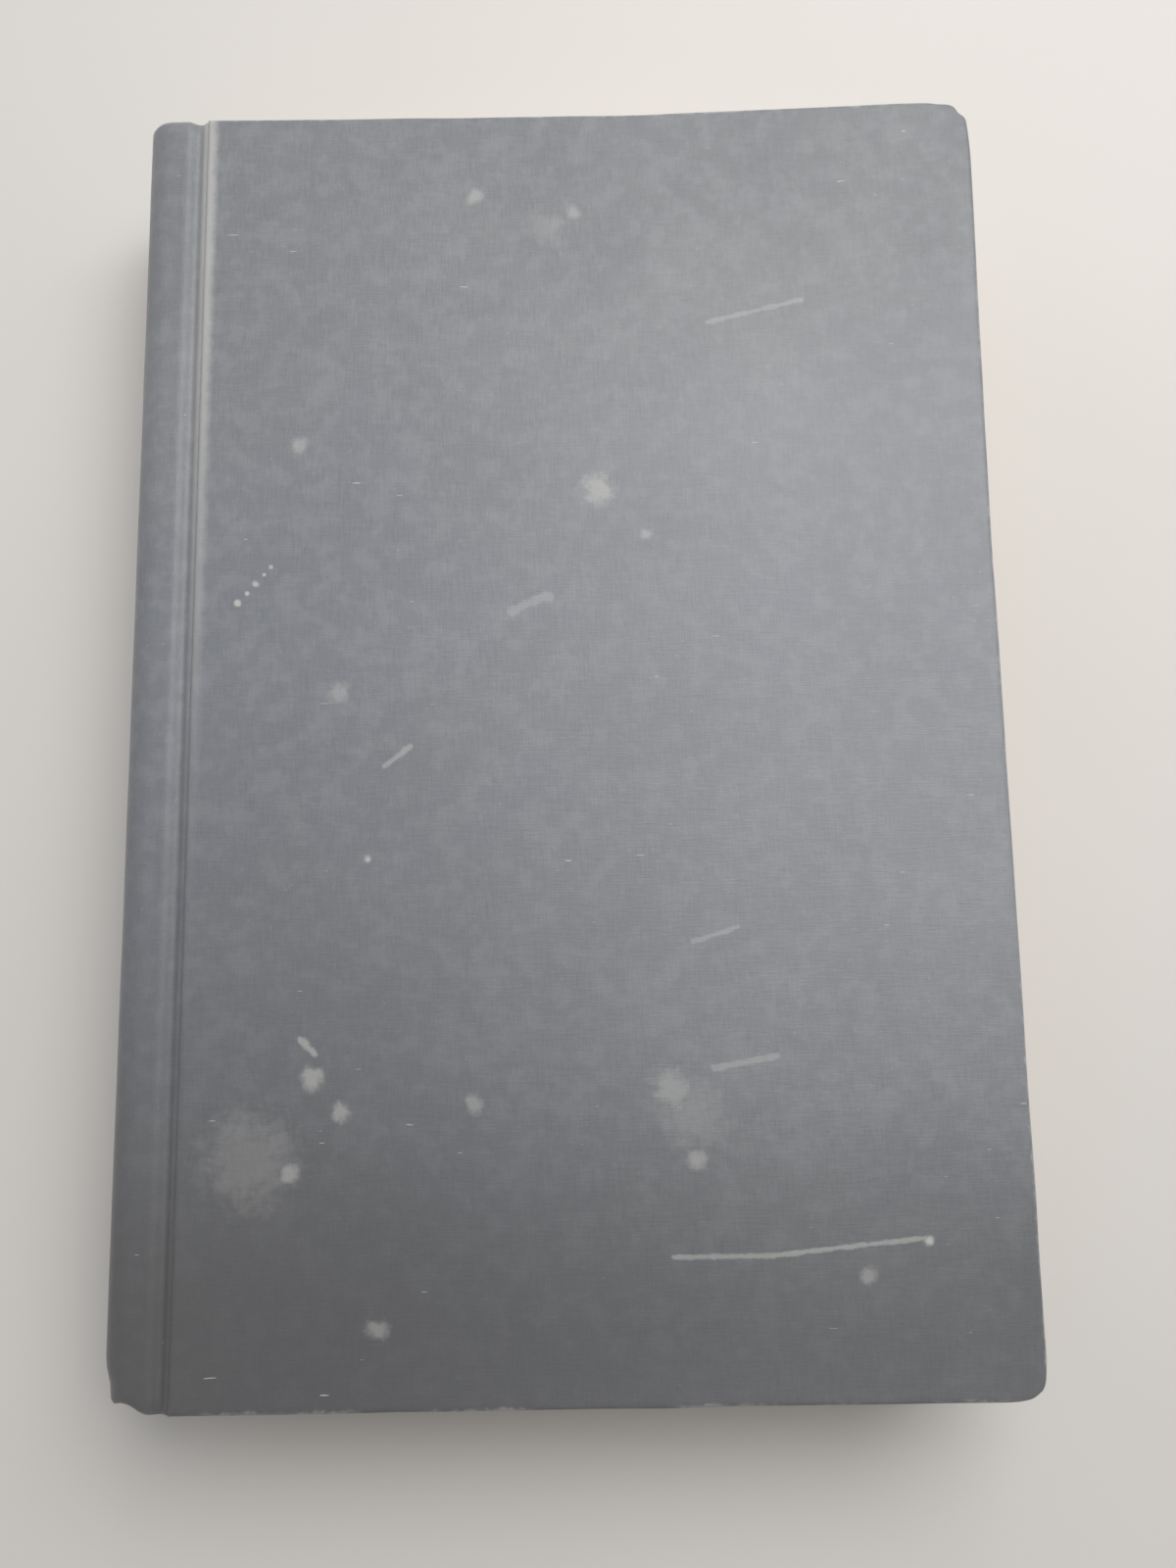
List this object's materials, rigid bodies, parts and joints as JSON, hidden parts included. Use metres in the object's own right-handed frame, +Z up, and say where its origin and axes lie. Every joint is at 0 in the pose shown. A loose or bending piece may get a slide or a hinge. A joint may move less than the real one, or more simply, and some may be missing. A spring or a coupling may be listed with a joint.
{
  "type": "hardback book",
  "caption": "Closed cloth-covered hardback book with a rounded back, lying on its back cover; both covers open on hinges.",
  "frame": {"origin": "middle of the closed book's bounding box at its underside, on the surface it lies on", "axes": "+X from the spine towards the fore edge, +Y from the tail towards the head, +Z up out of the front cover"},
  "size_m": [0.163, 0.24, 0.036],
  "materials": {
    "book_cloth": "starched book cloth, slightly rubbed",
    "greyboard": "matte",
    "inlay_card": "matte",
    "endpaper": "matte",
    "lining_paper": "matte",
    "pages": "matte, cut leaf edges",
    "gauze": "open weave",
    "band_thread": "sewn thread"
  },
  "bodies": {
    "block": {"text_block": "pages", "front_flyleaf": "endpaper", "back_flyleaf": "endpaper", "spine_mull": "gauze", "spine_lining": "lining_paper", "head_band": "band_thread", "tail_band": "band_thread", "spine_inlay": "inlay_card", "spine_cloth": "book_cloth"},
    "front_cover": {"front_board": "greyboard", "front_cover_cloth": "book_cloth", "front_pastedown": "endpaper"},
    "back_cover": {"back_board": "greyboard", "back_cover_cloth": "book_cloth", "back_pastedown": "endpaper"}
  },
  "joints": [
    {"name": "front_cover_hinge", "type": "hinge", "parent": "block", "child": "front_cover", "pos_m": [-0.0695, 0, 0.0356], "axis": [0, -1, 0], "range_deg": [0, 180]},
    {"name": "back_cover_hinge", "type": "hinge", "parent": "block", "child": "back_cover", "pos_m": [-0.0695, 0, 0.0004], "axis": [0, 1, 0], "range_deg": [0, 180]}
  ]
}
